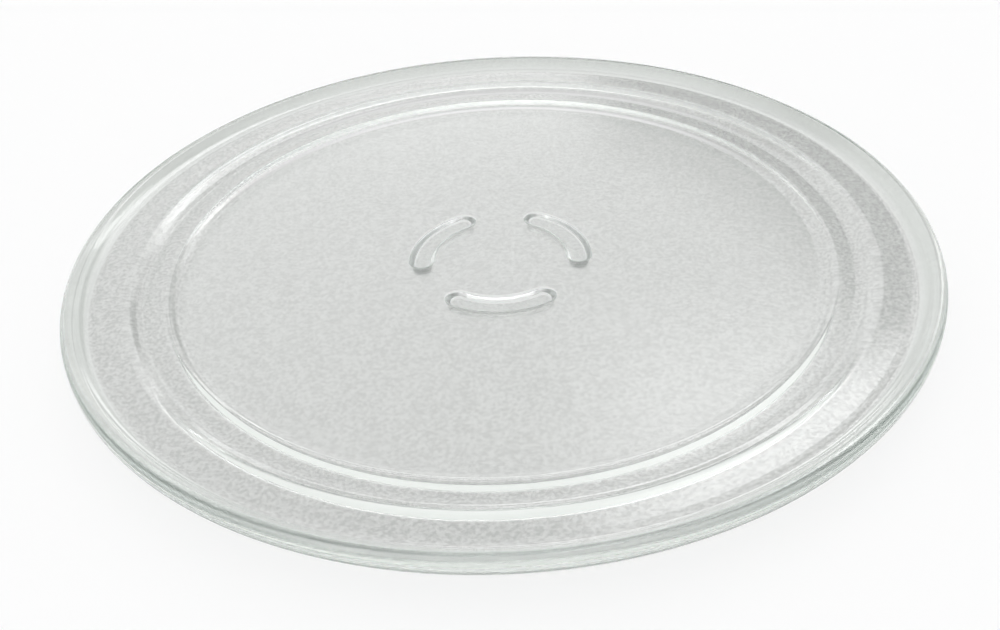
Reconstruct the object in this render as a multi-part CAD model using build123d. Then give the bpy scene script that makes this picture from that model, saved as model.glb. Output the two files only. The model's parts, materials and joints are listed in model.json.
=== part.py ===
from build123d import *
import math
import os

# Pressed-glass turntable tray of a microwave oven, in millimetres.
# The tray turns about Z, its lug tips stand on z = 0 and its dish opens upwards.

# Outer ring, from the edge inwards; the flat floor in the middle takes what is left.
tray_diameter = 304.8
rim_width = 7.8
rim_slope_run = 3.8
rim_rise = 3.4
flange_width = 13.4
flange_step_run = 5.2
flange_step_rise = 2.4
track_width = 8.3
track_step_run = 3.2
track_step_rise = 1.8
glass_thickness = 5.0

# Roundings of the rim, from its foot on the flange over the edge to its heel underneath.
rim_foot_radius = 9.0
rim_crest_radius = 3.0
rim_edge_radius = 2.4
rim_heel_radius = 2.4

# Three curved lugs under the floor; the arms of the oven's drive hub fit between their ends.
lug_count = 3
lug_circle_diameter = 57.0
lug_width = 8.4
lug_height = 4.5
lug_sweep = 62.0
lug_draft = 10.0
first_lug_angle = -90.0

# Share of a wall that the roundings at its two ends may take up together.
rounded_share = 0.96


def below(corner):
    """The underside's corner, one glass thickness under a corner of the upper side."""
    return (corner[0], corner[1] - glass_thickness)


def fitted_radii(points, wanted):
    """Corner radii, cut down where two roundings would not both fit on the wall between them."""
    walls = [Vector(end) - Vector(start) for start, end in zip(points, points[1:])]
    half_turns = [math.radians(wall.get_angle(after)) / 2 for wall, after in zip(walls, walls[1:])]
    reach = [0, *(radius * math.tan(half) for radius, half in zip(wanted, half_turns)), 0]
    room = [
        min(1, rounded_share * wall.length / (near + far))
        for wall, near, far in zip(walls, reach, reach[1:])
    ]
    return [radius * min(before, after) for radius, before, after in zip(wanted, room, room[1:])]


# Upper side of the section as (radius, height) corners, from the rim inwards.
outer_radius = tray_diameter / 2
floor_z = lug_height + glass_thickness
track_z = floor_z + track_step_rise
flange_z = track_z + flange_step_rise
crest_z = flange_z + rim_rise
rim_edge = (outer_radius, crest_z)
rim_foot = (outer_radius - rim_width, flange_z)
rim_crest = (rim_foot[0] + rim_slope_run, crest_z)
flange_inner = (rim_foot[0] - flange_width, flange_z)
track_outer = (flange_inner[0] - flange_step_run, track_z)
track_inner = (track_outer[0] - track_width, track_z)
floor_edge = (track_inner[0] - track_step_run, floor_z)
floor_middle = (0, floor_z)

# The rim's line runs from the flange over the edge and the heel, then down under its foot.
rim_line = [flange_inner, rim_foot, rim_crest, rim_edge, below(rim_edge), below(rim_foot)]
rim_radii = [rim_foot_radius, rim_crest_radius, rim_edge_radius, rim_heel_radius]

# From there inwards the underside follows the upper side, one thickness below it.
upper_corners = [rim_foot, flange_inner, track_outer, track_inner, floor_edge, floor_middle]
underside = [below(corner) for corner in upper_corners]

with BuildPart() as tray:
    with BuildSketch(Plane.XZ):
        with BuildLine():
            Polyline(floor_middle, floor_edge, track_inner, track_outer, flange_inner)
            FilletPolyline(*rim_line, radius=fitted_radii(rim_line, rim_radii))
            Polyline(*underside, floor_middle)
        make_face()
    revolve(axis=Axis.Z)

    # Lugs with rounded ends, drawn where they leave the floor and drafted towards their tips.
    with BuildSketch(Plane.XY.offset(lug_height)):
        with PolarLocations(0, lug_count, start_angle=first_lug_angle):
            lug_line = CenterArc((0, 0), lug_circle_diameter / 2, -lug_sweep / 2, lug_sweep)
            SlotArc(lug_line, lug_width)
    extrude(amount=-lug_height, taper=lug_draft)

os.makedirs("parts", exist_ok=True)
export_step(tray.part, "parts/glass_tray.step")
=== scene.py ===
"""Looks of a pressed-glass microwave turntable tray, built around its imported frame."""

import json
import math

import bpy
import numpy as np
from mathutils import Matrix, Vector


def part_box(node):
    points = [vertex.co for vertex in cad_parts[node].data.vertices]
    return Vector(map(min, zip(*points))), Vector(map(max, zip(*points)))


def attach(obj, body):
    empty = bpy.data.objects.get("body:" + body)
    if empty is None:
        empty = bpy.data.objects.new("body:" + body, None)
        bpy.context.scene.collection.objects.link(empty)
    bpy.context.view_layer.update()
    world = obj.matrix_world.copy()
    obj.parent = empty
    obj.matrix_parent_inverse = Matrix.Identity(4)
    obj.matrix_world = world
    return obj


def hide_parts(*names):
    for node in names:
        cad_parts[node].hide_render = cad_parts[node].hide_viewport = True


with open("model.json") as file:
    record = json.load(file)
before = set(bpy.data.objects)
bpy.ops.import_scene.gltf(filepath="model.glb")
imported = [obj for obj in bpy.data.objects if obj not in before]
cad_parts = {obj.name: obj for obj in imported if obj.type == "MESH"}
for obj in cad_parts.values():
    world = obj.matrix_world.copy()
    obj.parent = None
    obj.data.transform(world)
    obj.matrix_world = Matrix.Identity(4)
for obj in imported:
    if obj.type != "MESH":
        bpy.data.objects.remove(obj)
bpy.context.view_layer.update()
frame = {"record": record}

bl_info = {
    "name": "Pressed Glass Turntable Tray",
    "version": (1, 0, 0),
    "blender": (4, 5, 0),
    "location": "View3D > Sidebar > Glass Tray",
    "description": "Presses the glass tray on its frame and lays out the studio around it",
    "category": "Object",
}

MM = 0.001

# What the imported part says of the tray
TRAY_NODE = "glass_tray"
TRAY_LOW, TRAY_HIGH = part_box(TRAY_NODE)
MOUNTS = {mount["name"]: mount for mount in frame["record"]["mounts"]}
FLOOR_Z = MOUNTS["floor"]["pos_m"][2]
LUG_ROOT_Z = MOUNTS["drive_lugs"]["pos_m"][2]
TRACK_UNDERSIDE_Z = MOUNTS["roller_track"]["pos_m"][2]
LUG_CIRCLE_M = MOUNTS["drive_lugs"]["dims"]["pcd_mm"] * MM
LUG_COUNT = MOUNTS["drive_lugs"]["dims"]["count"]

# Mesh of the tray
# The largest turn between two points of a rounding, its fewest points, and how far its support points stand
# beside it.
ARC_STEP = math.radians(7)
ARC_POINTS = 3
SUPPORT = 0.12 * MM
# How far the rings across the lugs reach to both sides of the lug circle, and how far apart they are.
LUG_REACH = 6.4 * MM
LUG_RING = 0.25 * MM

# Zones of the glass
# Each zone has a colour that tones what comes through it: a grey that is partly the glass's haze and partly
# painted shade, standing in for the tray's shadow on what lies below. It also has shares of that grey's
# grain, of the stipple's depth and of the painted white that a step underneath can take on, a painted
# highlight. They are written to the mesh under these names.
HAZE_AND_PAINTED_SHADE = "tone"
SHARES = ("grain", "stipple", "white")
FINISHES = {
    "floor": dict(tone="floor", grain=0.15, stipple=1.0, white=0.0),
    "rings": dict(tone="rings", grain=0.24, stipple=1.0, white=0.0),
    "lugs": dict(tone="lugs", grain=0.0, stipple=0.3, white=0.0),
    "rim": dict(tone="rim", grain=0.05, stipple=0.6, white=0.0),
    "track_step": dict(tone="steps", grain=0.2, stipple=0.1, white=1.0),
    "flange_step": dict(tone="steps", grain=0.2, stipple=0.1, white=0.7),
    "rim_top": dict(tone="rim_top", grain=0.0, stipple=0.0, white=0.0),
    "polished": dict(tone="polished", grain=0.0, stipple=0.0, white=0.0),
}
# The underside is level where the upward part of its normal is below this.
LEVEL_FACING = -0.985
# Most of the noise that makes the dimples lies in this range.
GRAIN_RANGE = (0.35, 0.65)
# Slant of the light on a face, 0 upright and 1 grazing. Below the first a step underneath passes painted
# white, a painted highlight, the more so the more upright the light is. Over the range its painted glow sets
# in, a white matt layer that stands in for light carried inside the glass, up to the gain times its share of
# white, or full.
PAINTED_WHITE_SLANT = 0.16
PAINTED_GLOW_SLANT = (0.24, 0.3)
PAINTED_GLOW_GAIN = 1.4

# Floor, camera and light
# Half the width of the paper, in metres. It lies a hair below the lugs' tips, so that the two faces don't
# fall together.
FLOOR_HALF = 3.0
FLOOR_GAP = 0.1 * MM
# Width of the image that the focal length counts in.
IMAGE_WIDTH_PX = 1000
# Light runs a long way inside the glass from face to face before it leaves.
LIGHT_BOUNCES = 12
# Panels of light in the room. Their edges are (angle, softness) in degrees: azimuth from straight behind the
# tray to the right, elevation from the floor. The bow, per radian, bends a panel's upper and lower edges down
# at both sides, or up where it is negative. Radiance counts from the base light.
LIGHT_PANELS = {
    "overhead": dict(low=(58, 12), radiance=1.11),
    "backdrop": dict(high=(16, 5), radiance=0.5),
    "low_light": dict(left=(-3, 3), right=(7, 3), low=(3, 1.5), high=(10, 2), radiance=2.2),
    "wall": dict(left=(-45, 15), right=(45, 15), low=(16, 5), high=(47, 3), radiance=0.95),
    "window": dict(left=(-12, 4), right=(3.5, 2), low=(14, 3), high=(28.5, 3), radiance=0.3),
    "glow": dict(left=(5, 6), right=(28, 8), low=(38, 4), high=(60, 4), radiance=1.3),
    "high_right": dict(left=(3, 3), right=(40, 10), low=(47.5, 1.5), high=(62, 4), bow=1.25, radiance=2.4),
    "dark_corner": dict(
        left=(4.5, 2.5), right=(45, 3), low=(16, 3), high=(27.5, 3), bow=-1.3, radiance=-1.4),
}


# Settings

def linear(hex_colour):
    """Linear RGB of an sRGB hex colour: (v + 0.055) / 1.055 to the power 2.4, or v / 12.92 near black."""
    srgb = [int(hex_colour[i:i + 2], 16) / 255 for i in (1, 3, 5)]
    return tuple(v / 12.92 if v <= 0.04045 else ((v + 0.055) / 1.055) ** 2.4 for v in srgb)


def length(name, description, default_mm):
    """A length property of a piece, in metres, from a size in millimetres."""
    return bpy.props.FloatProperty(
        name=name, description=description, default=default_mm * MM, min=0, unit="LENGTH", precision=5)


def angle(name, description, default_deg):
    """An angle property, in radians, from degrees."""
    return bpy.props.FloatProperty(
        name=name, description=description, default=math.radians(default_deg), subtype="ANGLE")


def amount(name, description, default):
    """A plain number property."""
    return bpy.props.FloatProperty(name=name, description=description, default=default)


def colour(name, description, hex_colour):
    """A colour property from an sRGB hex value."""
    return bpy.props.FloatVectorProperty(
        name=name, description=description, default=linear(hex_colour), size=3, min=0, max=1,
        subtype="COLOR")


class TrayForm(bpy.types.PropertyGroup):
    """Section of the tray and form of its lugs."""

    diameter: length("Diameter", "Outer diameter of the tray", (TRAY_HIGH.x - TRAY_LOW.x) / MM)
    thickness: length("Thickness", "Wall of the pressed glass", (FLOOR_Z - LUG_ROOT_Z) / MM)
    rim_width: length("Rim width", "From the foot of the rim to the outer edge", 7.8)
    rim_slope: length("Rim slope", "Run of the rim's inner slope", 3.8)
    rim_rise: length("Rim rise", "Height of the rim over the flange", 3.4)
    flange_width: length("Flange width", "Flat ring inside the rim", 13.4)
    flange_run: length("Flange step run", "Run of the step between track and flange", 5.2)
    flange_rise: length("Flange step rise", "Height of the step between track and flange", 2.4)
    track_width: length("Track width", "Flat ring between the two steps", 8.3)
    track_run: length("Track step run", "Run of the step between floor and track", 3.2)
    track_rise: length(
        "Track step rise", "Height of the step between floor and track",
        (TRACK_UNDERSIDE_Z - LUG_ROOT_Z) / MM)
    foot_radius: length("Rim foot radius", "Hollow rounding where the rim leaves the flange", 9.0)
    crest_radius: length("Rim crest radius", "Rounding at the inner side of the rim's crest", 3.0)
    edge_radius: length("Rim edge radius", "Rounding at the outer side of the rim's crest", 2.4)
    heel_radius: length("Rim heel radius", "Rounding under the outer edge", 2.4)
    knee_radius: length("Rim knee radius", "Rounding where the underside turns up to the rim", 6.0)
    stipple_end: length("Stipple end", "Smooth ring of the flange's underside beside the rim", 1.0)
    flange_foot: length("Flange step foot", "Hollow rounding at the lower end of the flange step", 11.0)
    flange_edge: length("Flange step edge", "Rounding at the upper end of the flange step", 6.0)
    track_foot: length("Track step foot", "Hollow rounding at the lower end of the track step", 9.0)
    track_edge: length("Track step edge", "Rounding at the upper end of the track step", 2.0)
    under_blend: length("Underside blend", "Roundings of both steps on the underside", 6.0)
    lug_circle: length("Lug circle", "Diameter of the circle that the lugs lie on", LUG_CIRCLE_M / MM)
    lug_width: length("Lug width", "Width of a lug where it leaves the floor", 8.4)
    lug_sweep: angle("Lug sweep", "Angle between the centres of a lug's two round ends", 62.0)
    lug_draft: angle("Lug draft", "Slope of a lug's walls from upright", 10.0)
    lug_tip_radius: length("Lug tip radius", "Rounding around a lug's tip", 1.2)
    lug_root_radius: length("Lug root radius", "Hollow rounding where a lug leaves the floor", 1.0)
    first_lug: angle("First lug", "Direction of the first lug's middle", -90.0)
    turns: bpy.props.IntProperty(
        name="Turns", description="Mesh points around the tray", default=576, min=24)


class GlassFinish(bpy.types.PropertyGroup):
    """Finish of the pressed glass."""

    polished: colour("Polished", "White light that comes through the fire-polished faces", "#FFFFFF")
    # The greys of floor, rings, steps, lugs, rim top and rim are partly the glass's haze and partly painted
    # shade, standing in for the tray's shadow on what lies below.
    floor: colour("Floor", "White light that comes through the underside of the floor", "#AEB0AD")
    rings: colour("Rings", "White light that comes through the underside of track and flange", "#A0A29F")
    steps: colour("Steps", "White light that comes through the underside of the steps", "#A2A4A1")
    lugs: colour("Lugs", "White light that comes through the walls of the lugs", "#D5D6D5")
    # Painted highlight: colour of the white matt layer on the steps, standing in for light carried inside the
    # glass
    painted_glow: colour("Frost", "What the frosted steps scatter of white light", "#E6E9E6")
    rim_top: colour("Rim top", "White light that comes through the upper faces of the rim", "#F0F2F0")
    rim: colour("Rim", "White light that comes through the underside of the rim", "#B4B8B4")
    tint: colour("Tint", "What the glass lets through of white light, far into it", "#4AD8A8")
    tint_density: amount("Tint density", "Share taken from the tint's missing colours, per metre", 1.2)
    roughness: amount("Roughness", "Roughness of the fire-polished faces", 0.04)
    under_roughness: amount("Underside roughness", "Roughness of the stippled faces", 0.25)
    ior: amount("IOR", "Refraction of soda-lime glass", 1.52)
    shade: colour("Shade", "Light that one face lets through onto what lies below", "#FAFAFA")
    stipple: length("Stipple", "Width of a dimple of the stippled underside", 1.3)
    stipple_depth: length("Stipple depth", "Depth of a dimple of the stippled underside", 0.03)
    ripple: length("Ripple", "Width of a wave of the fire-polished faces", 9.0)
    ripple_depth: length("Ripple depth", "Depth of a wave of the fire-polished faces", 0.02)


class Studio(bpy.types.PropertyGroup):
    """Floor, light and camera."""

    floor_colour: colour("Floor", "White paper floor", "#FAFAFA")
    base_light: amount("Base light", "Radiance of the room all around", 0.5)
    camera_distance: length("Camera distance", "From the middle of the tray's floor", 415.0)
    camera_elevation: angle("Camera elevation", "Height of the camera over the tray's floor", 33.64)
    camera_azimuth: angle("Camera azimuth", "Turn of the camera around the tray", 1.5)
    camera_roll: angle("Camera roll", "Lean of the camera, to the left", -3.45)
    aim_forward: length("Aim forward", "How far before the tray's middle the camera aims", 38.2)
    aim_left: length("Aim left", "How far to the left of the tray's middle the camera aims", 1.2)
    focal_px: amount("Focal length", "Focal length in pixels of the image", 1146.0)


class Tray(bpy.types.PropertyGroup):
    """All settings of the tray and its studio."""

    form: bpy.props.PointerProperty(type=TrayForm, name="Form", description="Sizes of the tray")
    glass: bpy.props.PointerProperty(type=GlassFinish, name="Glass", description="Finish of the glass")
    studio: bpy.props.PointerProperty(type=Studio, name="Studio", description="Floor, light and camera")


# Section of the tray

def rounded_line(corners, radii):
    """Points of a line with rounded corners.

    A rounding of radius r over a turn t starts r tan(t/2) before its corner, along the wall's direction u,
    and is start + u r sin(a) + n r (1 - cos(a)) for a from 0 to t, with n across the wall, to the side it
    turns to. A support point stands a little before and after each rounding, so that smooth shading keeps
    the walls flat.
    """
    corners = np.asarray(corners, float)
    walls = np.diff(corners, axis=0)
    along = walls / np.linalg.norm(walls, axis=1, keepdims=True)
    pieces = [corners[:1]]
    for corner, before, after, radius in zip(corners[1:-1], along, along[1:], radii):
        side = before[0] * after[1] - before[1] * after[0]
        turn = math.atan2(abs(side), before @ after)
        across = np.sign(side) * np.array([-before[1], before[0]])
        start = corner - before * radius * math.tan(turn / 2)
        end = corner + after * radius * math.tan(turn / 2)
        a = np.linspace(0, turn, max(ARC_POINTS, math.ceil(turn / ARC_STEP) + 1))[:, None]
        arc = start + radius * (before * np.sin(a) + across * (1 - np.cos(a)))
        pieces += [[start - before * SUPPORT], arc, [end + after * SUPPORT]]
    return np.concatenate([*pieces, corners[-1:]])


def ring_radii(form):
    """Radii of the section's corners on the upper side, from the rim inwards."""
    outer = form.diameter / 2
    rim_foot = outer - form.rim_width
    flange_inner = rim_foot - form.flange_width
    track_outer = flange_inner - form.flange_run
    track_inner = track_outer - form.track_width
    return outer, rim_foot, flange_inner, track_outer, track_inner, track_inner - form.track_run


def tray_section(form):
    """The section's (radius, height) points, from the floor's middle over the rim to the underside's middle.

    The underside's corners lie one thickness below the upper ones; the rim's crest has none, so that the
    underside rises straight from under the rim's foot to its heel. Along a step of slope s the wall keeps its
    thickness t, so the step's corners underneath stand t tan(s/2) further out.
    """
    outer, rim_foot, flange_inner, track_outer, track_inner, floor_edge = ring_radii(form)
    track = FLOOR_Z + form.track_rise
    flange = track + form.flange_rise
    crest = flange + form.rim_rise
    steps = [(floor_edge, FLOOR_Z), (track_inner, track), (track_outer, track), (flange_inner, flange)]
    inner = [(0, FLOOR_Z), *steps, (rim_foot, flange)]
    upper = np.array([*inner, (rim_foot + form.rim_slope, crest), (outer, crest)])
    lower = np.array([*inner, (outer, crest)]) - [0, form.thickness]
    slopes = math.atan2(form.track_rise, form.track_run), math.atan2(form.flange_rise, form.flange_run)
    track_out, flange_out = (form.thickness * math.tan(slope / 2) for slope in slopes)
    lower[1:1 + len(steps), 0] += [track_out, track_out, flange_out, flange_out]
    upper_radii = [form.track_foot, form.track_edge, form.flange_foot, form.flange_edge]
    rim_radii = [form.foot_radius, form.crest_radius, form.edge_radius, form.heel_radius, form.knee_radius]
    lower_radii = [form.under_blend] * len(steps)
    return rounded_line(np.concatenate([upper, lower[::-1]]), [*upper_radii, *rim_radii, *lower_radii])


def lug_rings(form):
    """Rings of the underside across the lugs, from outside inwards, close enough to carry the lugs' walls."""
    middle = form.lug_circle / 2
    radii = np.arange(middle + LUG_REACH, middle - LUG_REACH, -LUG_RING)
    return np.stack([radii, np.full_like(radii, LUG_ROOT_Z)], axis=1)


def lug_depth(form, radius, turn):
    """How far the lugs stand below the floor at polar places.

    The distance to the nearest lug's centre line is sqrt(r^2 + c^2 - 2 r c cos(e)), with c the lug circle's
    radius and e the angle by which the place lies past the end of the line, or 0 beside it. The depth follows
    that distance along the lug's cross-section: flat tip, rounded edge, drafted wall, hollow root.
    """
    pitch = 2 * math.pi / LUG_COUNT
    off_middle = np.abs((turn - form.first_lug + pitch / 2) % pitch - pitch / 2)
    past_end = np.maximum(off_middle - form.lug_sweep / 2, 0)
    circle = form.lug_circle / 2
    distance = np.sqrt(radius**2 + circle**2 - 2 * radius * circle * np.cos(past_end))
    half = form.lug_width / 2
    tip = half - LUG_ROOT_Z * math.tan(form.lug_draft)
    cross = rounded_line(
        [(0, LUG_ROOT_Z), (tip, LUG_ROOT_Z), (half, 0), (2 * half, 0)],
        [form.lug_tip_radius, form.lug_root_radius])
    return np.interp(distance, cross[:, 0], cross[:, 1])


def tray_height(form, radius, turn, height):
    """Height of the tray's points: the section's, less the lugs' depth on the underside near them."""
    near_lugs = (height <= LUG_ROOT_Z) & (radius <= form.lug_circle / 2 + LUG_REACH)
    return np.where(near_lugs, height - lug_depth(form, radius, turn), height)


def tray_mesh(form):
    """The tray's closed mesh: its section turned about Z, with points (r cos(a), r sin(a), height(r, a)).

    The section's first and last points lie on the axis and become the two poles, which triangle fans close.
    """
    outline = tray_section(form)
    section = np.concatenate([outline[:-1], lug_rings(form), outline[-1:]])
    turns = form.turns
    a = np.arange(turns) * (2 * math.pi / turns)
    radius, height = (ring[:, None] for ring in section[1:-1].T)
    z = tray_height(form, radius, a[None, :], height)
    rings = np.stack([radius * np.cos(a), radius * np.sin(a), z], axis=2).reshape(-1, 3)
    poles = np.stack([[0, 0, section[0, 1]], [0, 0, section[-1, 1]]])
    count = len(section) - 2
    index = np.arange(count * turns).reshape(count, turns)
    after = np.roll(index, -1, axis=1)
    quads = np.stack([index[:-1], index[1:], after[1:], after[:-1]], axis=2).reshape(-1, 4)
    top, bottom = count * turns, count * turns + 1
    first_fan = np.stack([np.full(turns, top), index[0], after[0]], axis=1)
    last_fan = np.stack([np.full(turns, bottom), after[-1], index[-1]], axis=1)
    faces = quads.tolist() + first_fan.tolist() + last_fan.tolist()
    mesh = bpy.data.meshes.new("pressed_glass_tray")
    mesh.from_pydata(np.concatenate([rings, poles]).tolist(), [], faces)
    mesh.polygons.foreach_set("use_smooth", np.ones(len(mesh.polygons), bool))
    mesh.update()
    return mesh


# Finish of the glass

def glass_zones(form, radius, facing):
    """Which mesh points lie in which zone, where a point in several zones counts for the first of them.

    The facing is the upward part of a point's normal: below 0 underneath, and near -1 where the underside is
    level.
    """
    _, rim_foot, _, track_outer, track_inner, floor_edge = ring_radii(form)
    track_middle = (track_outer + track_inner) / 2
    down = facing < 0
    under = down & (radius < rim_foot)
    level = under & (facing < LEVEL_FACING)
    return {
        "floor": level & (radius < floor_edge),
        "rings": level & (radius > floor_edge) & (radius < rim_foot - form.stipple_end),
        "lugs": under & ~level & (radius < floor_edge - form.track_width),
        "rim": down & ~under,
        "track_step": under & (radius < track_middle),
        "flange_step": under,
        "rim_top": radius > rim_foot,
        "polished": np.full(radius.shape, True),
    }


def paint_zones(mesh, form, glass):
    """Writes its zone's finish to each mesh point: the grey, partly painted shade, as a colour, the shares as
    plain numbers.
    """
    places = np.empty(3 * len(mesh.vertices), np.float32)
    mesh.vertices.foreach_get("co", places)
    normals = np.empty(3 * len(mesh.vertices), np.float32)
    mesh.vertex_normals.foreach_get("vector", normals)
    zones = glass_zones(form, np.hypot(places[0::3], places[1::3]), normals[2::3])
    zone = np.select(list(zones.values()), list(range(len(zones))))
    finishes = [FINISHES[name] for name in zones]
    tones = np.array([(*getattr(glass, finish["tone"]), 1) for finish in finishes], np.float32)
    mesh.attributes.new(HAZE_AND_PAINTED_SHADE, "FLOAT_COLOR", "POINT").data.foreach_set("color", tones[zone].ravel())
    for name in SHARES:
        shares = np.array([finish[name] for finish in finishes], np.float32)
        mesh.attributes.new(name, "FLOAT", "POINT").data.foreach_set("value", shares[zone])


def add_node(tree, kind, inputs=None, output=0, **settings):
    """Adds a node and gives one of its outputs.

    Settings are the node's own, and inputs maps its sockets to values or to other nodes' outputs.
    """
    node = tree.nodes.new(kind)
    for name, value in settings.items():
        setattr(node, name, value)
    for socket, source in (inputs or {}).items():
        if isinstance(source, bpy.types.NodeSocket):
            tree.links.new(source, node.inputs[socket])
        else:
            node.inputs[socket].default_value = source
    return node.outputs[output] if node.outputs else None


def new_material(name):
    """An empty node material and its tree."""
    material = bpy.data.materials.new(name)
    material.use_nodes = True
    material.node_tree.nodes.clear()
    return material, material.node_tree


def pressed_soda_lime_glass(glass):
    """Soda-lime glass, pressed in an iron mould: fire-polished above, stippled underneath.

    The eye sees a clear top with faint long waves in its reflections, and through it a fine-grained,
    grey-toned underside that softens what lies below; its grey is partly the glass's haze and partly painted
    shade, standing in for the tray's shadow on what lies below. The steps underneath carry a painted
    highlight:
    they are painted white where light meets them upright, and a white matt layer stands in for the light that
    clear glass would mirror inside it where light meets them at such a slant. Light that goes far through the
    glass comes out green. Light also passes it on the way to what lies below, which is lit, a little dimmer.
    The stipple is drawn as coarse as it needs to be to show.
    """
    material, tree = new_material("pressed_soda_lime_glass")
    place = add_node(tree, "ShaderNodeTexCoord", output="Object")
    # Grey of the zone, partly painted shade, and the zone's shares
    tone = add_node(tree, "ShaderNodeAttribute", output="Color", attribute_name=HAZE_AND_PAINTED_SHADE)
    grain, stipple, white = (
        add_node(tree, "ShaderNodeAttribute", output="Fac", attribute_name=name) for name in SHARES)

    # Long waves above, dimples underneath
    ripples, dimples = (
        add_node(tree, "ShaderNodeTexNoise", {"Vector": place, "Scale": 1 / width, "Detail": 1.0}, "Fac")
        for width in (glass.ripple, glass.stipple))
    dimple_height = add_node(tree, "ShaderNodeMath", {0: dimples, 1: stipple}, operation="MULTIPLY")
    ripple_bump = add_node(tree, "ShaderNodeBump", {"Height": ripples, "Distance": glass.ripple_depth})
    dimple_bump = add_node(
        tree, "ShaderNodeBump",
        {"Height": dimple_height, "Normal": ripple_bump, "Distance": glass.stipple_depth})
    roughness = add_node(
        tree, "ShaderNodeMapRange",
        {"Value": stipple, "To Min": glass.roughness, "To Max": glass.under_roughness})

    # Grey with the dimples' grain, the grey partly painted shade, and a painted highlight: white where light
    # meets a step upright
    speck = add_node(
        tree, "ShaderNodeMapRange",
        {"Value": dimples, "From Min": GRAIN_RANGE[0], "From Max": GRAIN_RANGE[1], "To Min": -1,
         "To Max": 1})
    speck = add_node(tree, "ShaderNodeMath", {0: speck, 1: grain, 2: 1}, operation="MULTIPLY_ADD")
    speckled = add_node(tree, "ShaderNodeVectorMath", {0: tone, "Scale": speck}, operation="SCALE")
    slant = add_node(tree, "ShaderNodeLayerWeight", output="Facing")
    upright = add_node(
        tree, "ShaderNodeMapRange",
        {"Value": slant, "From Max": PAINTED_WHITE_SLANT, "To Min": white, "To Max": 0})
    passed = add_node(tree, "ShaderNodeVectorMath", {0: speckled, 1: upright}, operation="MAXIMUM")
    clear = add_node(
        tree, "ShaderNodeBsdfPrincipled",
        {"Base Color": passed, "Normal": dimple_bump, "Roughness": roughness, "IOR": glass.ior,
         "Transmission Weight": 1.0})

    # Painted highlight of the steps: a white matt layer where light meets them at a slant, standing in for
    # light carried inside the glass
    slanting = add_node(
        tree, "ShaderNodeMapRange",
        {"Value": slant, "From Min": PAINTED_GLOW_SLANT[0], "From Max": PAINTED_GLOW_SLANT[1], "To Max": PAINTED_GLOW_GAIN})
    glow_painted = add_node(tree, "ShaderNodeMath", {0: slanting, 1: white}, operation="MULTIPLY", use_clamp=True)
    painted_glow = add_node(tree, "ShaderNodeBsdfDiffuse", {"Color": (*glass.painted_glow, 1)})
    face = add_node(tree, "ShaderNodeMixShader", {0: glow_painted, 1: clear, 2: painted_glow})

    # Light on its way to a matt face passes straight through
    shadow_ray, diffuse_ray = (
        add_node(tree, "ShaderNodeLightPath", output=ray) for ray in ("Is Shadow Ray", "Is Diffuse Ray"))
    lit_through = add_node(tree, "ShaderNodeMath", {0: shadow_ray, 1: diffuse_ray}, operation="MAXIMUM")
    passing = add_node(tree, "ShaderNodeBsdfTransparent", {"Color": (*glass.shade, 1)})
    surface = add_node(tree, "ShaderNodeMixShader", {0: lit_through, 1: face, 2: passing})
    body = add_node(
        tree, "ShaderNodeVolumeAbsorption", {"Color": (*glass.tint, 1), "Density": glass.tint_density})
    add_node(tree, "ShaderNodeOutputMaterial", {"Surface": surface, "Volume": body})
    return material


class OBJECT_OT_press_glass_tray(bpy.types.Operator):
    """Press the tray: its stepped section turned about the axis, with the drive lugs under the floor"""

    bl_idname = "object.press_glass_tray"
    bl_label = "Press Glass Tray"

    def execute(self, context):
        tray = context.scene.tray
        mesh = tray_mesh(tray.form)
        paint_zones(mesh, tray.form, tray.glass)
        mesh.materials.append(pressed_soda_lime_glass(tray.glass))
        piece = bpy.data.objects.new("pressed_glass_tray", mesh)
        context.scene.collection.objects.link(piece)
        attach(piece, "root")
        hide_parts(TRAY_NODE)
        return {"FINISHED"}


# Studio

def panel_window(tree, azimuth, elevation, panel):
    """How far a direction lies inside a panel, 0 to 1: the product of a smooth step over each edge."""
    square = add_node(tree, "ShaderNodeMath", {0: azimuth, 1: azimuth}, operation="MULTIPLY")
    bowed = add_node(
        tree, "ShaderNodeMath", {0: square, 1: panel.get("bow", 0), 2: elevation}, operation="MULTIPLY_ADD")
    inside = 1.0
    for edge, place, before, beyond in (
            ("left", azimuth, 0, 1), ("right", azimuth, 1, 0), ("low", bowed, 0, 1), ("high", bowed, 1, 0)):
        if edge not in panel:
            continue
        middle, soft = (math.radians(value) for value in panel[edge])
        step = add_node(
            tree, "ShaderNodeMapRange",
            {"Value": place, "From Min": middle - soft, "From Max": middle + soft, "To Min": before,
             "To Max": beyond},
            interpolation_type="SMOOTHSTEP")
        inside = add_node(tree, "ShaderNodeMath", {0: inside, 1: step}, operation="MULTIPLY")
    return inside


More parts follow.
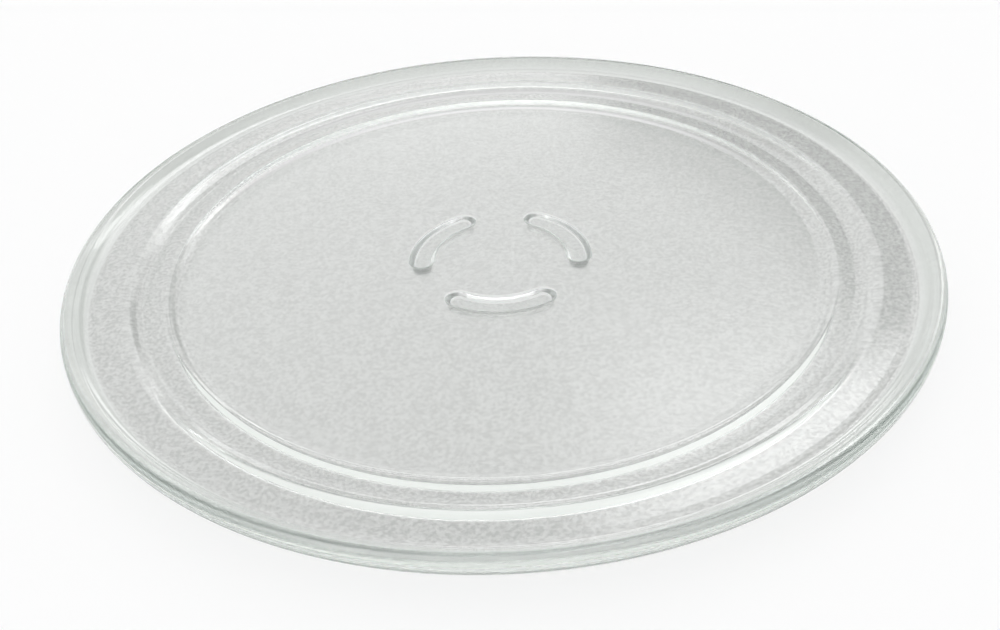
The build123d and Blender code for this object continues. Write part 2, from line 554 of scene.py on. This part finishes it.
def light_room(studio):
    """The room: an even base light with soft panels, as a function of direction, and nowhere below 0."""
    world = bpy.data.worlds.new("studio_room")
    world.use_nodes = True
    # The room shines from everywhere, so the paths find it by themselves, without shadow rays.
    world.cycles.sampling_method = "NONE"
    tree = world.node_tree
    tree.nodes.clear()
    direction = add_node(tree, "ShaderNodeTexCoord", output="Generated")
    x, y, z = (add_node(tree, "ShaderNodeSeparateXYZ", {0: direction}, axis) for axis in "XYZ")
    azimuth = add_node(tree, "ShaderNodeMath", {0: x, 1: y}, operation="ARCTAN2")
    elevation = add_node(tree, "ShaderNodeMath", {0: z}, operation="ARCSINE")
    radiance = studio.base_light
    for panel in LIGHT_PANELS.values():
        window = panel_window(tree, azimuth, elevation, panel)
        radiance = add_node(
            tree, "ShaderNodeMath", {0: window, 1: panel["radiance"], 2: radiance}, operation="MULTIPLY_ADD")
    lit = add_node(tree, "ShaderNodeMath", {0: radiance, 1: 0}, operation="MAXIMUM")
    background = add_node(tree, "ShaderNodeBackground", {"Color": (1, 1, 1, 1), "Strength": lit})
    add_node(tree, "ShaderNodeOutputWorld", {"Surface": background})
    return world


def white_paper(studio):
    """Matt white paper, pressed and uncoated: an even white with no gloss."""
    material, tree = new_material("white_matt_paper")
    paper = add_node(
        tree, "ShaderNodeBsdfPrincipled",
        {"Base Color": (*studio.floor_colour, 1), "Roughness": 1.0, "Specular IOR Level": 0.0})
    add_node(tree, "ShaderNodeOutputMaterial", {"Surface": paper})
    return material


def photo_camera(studio):
    """The camera at the photograph's place, aimed before the tray's middle and leaned by its roll."""
    data = bpy.data.cameras.new("photo_camera")
    data.sensor_fit = "HORIZONTAL"
    data.lens = studio.focal_px * data.sensor_width / IMAGE_WIDTH_PX
    camera = bpy.data.objects.new("photo_camera", data)
    turn = Matrix.Rotation(studio.camera_azimuth, 4, "Z")
    middle = Vector((0, 0, FLOOR_Z))
    reach = studio.camera_distance
    eye = turn @ Vector(
        (0, -reach * math.cos(studio.camera_elevation), reach * math.sin(studio.camera_elevation)))
    aim = turn @ Vector((-studio.aim_left, -studio.aim_forward, 0))
    look = (aim - eye).to_track_quat("-Z", "Y").to_matrix().to_4x4()
    camera.matrix_world = (
        Matrix.Translation(middle + eye) @ look @ Matrix.Rotation(studio.camera_roll, 4, "Z"))
    return camera


class OBJECT_OT_lay_out_studio(bpy.types.Operator):
    """Lay out the studio: white paper floor, soft room light and the camera"""

    bl_idname = "object.lay_out_studio"
    bl_label = "Lay Out Studio"

    def execute(self, context):
        scene = context.scene
        studio = scene.tray.studio
        mesh = bpy.data.meshes.new("paper_floor")
        corners = FLOOR_HALF * np.array([[-1, -1, 0], [1, -1, 0], [1, 1, 0], [-1, 1, 0]]) - [0, 0, FLOOR_GAP]
        mesh.from_pydata(corners.tolist(), [], [(0, 1, 2, 3)])
        mesh.materials.append(white_paper(studio))
        floor = bpy.data.objects.new("paper_floor", mesh)
        scene.collection.objects.link(floor)
        scene.world = light_room(studio)
        camera = photo_camera(studio)
        scene.collection.objects.link(camera)
        scene.camera = camera
        scene.view_settings.view_transform = "Standard"
        scene.cycles.max_bounces = LIGHT_BOUNCES
        scene.cycles.glossy_bounces = LIGHT_BOUNCES
        scene.cycles.transmission_bounces = LIGHT_BOUNCES
        return {"FINISHED"}


class VIEW3D_PT_glass_tray(bpy.types.Panel):
    """Sidebar panel of the tray"""

    bl_idname = "VIEW3D_PT_glass_tray"
    bl_label = "Glass Tray"
    bl_space_type = "VIEW_3D"
    bl_region_type = "UI"
    bl_category = "Glass Tray"

    def draw(self, context):
        tray = context.scene.tray
        for title, group, operator in (
                ("Tray", tray.form, OBJECT_OT_press_glass_tray),
                ("Glass", tray.glass, None),
                ("Studio", tray.studio, OBJECT_OT_lay_out_studio)):
            column = self.layout.column(heading=title)
            for name in group.__annotations__:
                column.prop(group, name)
            if operator:
                column.operator(operator.bl_idname)


CLASSES = (
    TrayForm, GlassFinish, Studio, Tray, OBJECT_OT_press_glass_tray, OBJECT_OT_lay_out_studio,
    VIEW3D_PT_glass_tray)


def register():
    for cls in CLASSES:
        bpy.utils.register_class(cls)
    bpy.types.Scene.tray = bpy.props.PointerProperty(
        type=Tray, name="Tray", description="The tray's settings")


def unregister():
    del bpy.types.Scene.tray
    for cls in reversed(CLASSES):
        bpy.utils.unregister_class(cls)


def main():
    register()
    bpy.ops.object.press_glass_tray()
    bpy.ops.object.lay_out_studio()


if __name__ == "__main__":
    main()
